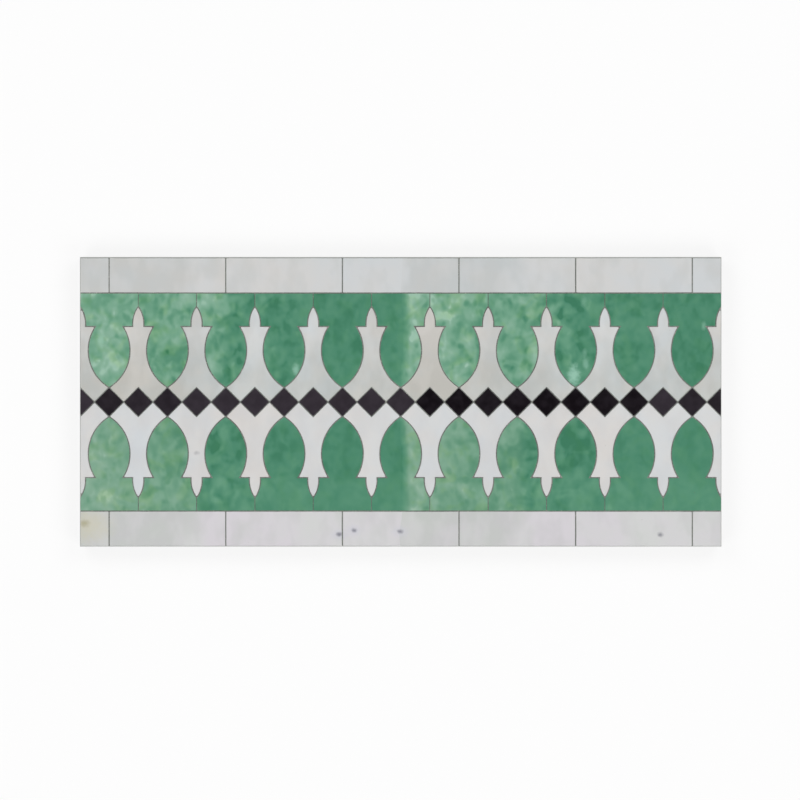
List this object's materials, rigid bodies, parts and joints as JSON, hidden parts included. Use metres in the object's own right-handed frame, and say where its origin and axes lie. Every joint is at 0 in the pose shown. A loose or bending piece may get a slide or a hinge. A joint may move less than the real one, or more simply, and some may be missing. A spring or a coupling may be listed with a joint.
{
  "type": "mosaic border tile",
  "caption": "Length of hand-cut mosaic border: white strips, green leaf tiles, white baluster tiles and black diamonds, grouted into a flat cement bed.",
  "frame": {"origin": "on the flat back of the cement bed, under the middle of the diamond row, half way along the border", "axes": "+X along the border, +Y across it towards the top strip course, +Z out of the glazed face"},
  "size_m": [0.55, 0.2482, 0.02],
  "materials": {
    "cement": "matt sandy grey cement",
    "white_glaze": "glossy off-white glaze",
    "green_glaze": "glossy mottled sea-green glaze",
    "black_glaze": "glossy brown-black glaze"
  },
  "bodies": {
    "root": {"grout_bed": "cement", "top_strip_tiles": "white_glaze", "upper_green_tiles": "green_glaze", "upper_white_tiles": "white_glaze", "black_diamond_tiles": "black_glaze", "lower_white_tiles": "white_glaze", "lower_green_tiles": "green_glaze", "bottom_strip_tiles": "white_glaze"}
  },
  "joints": []
}
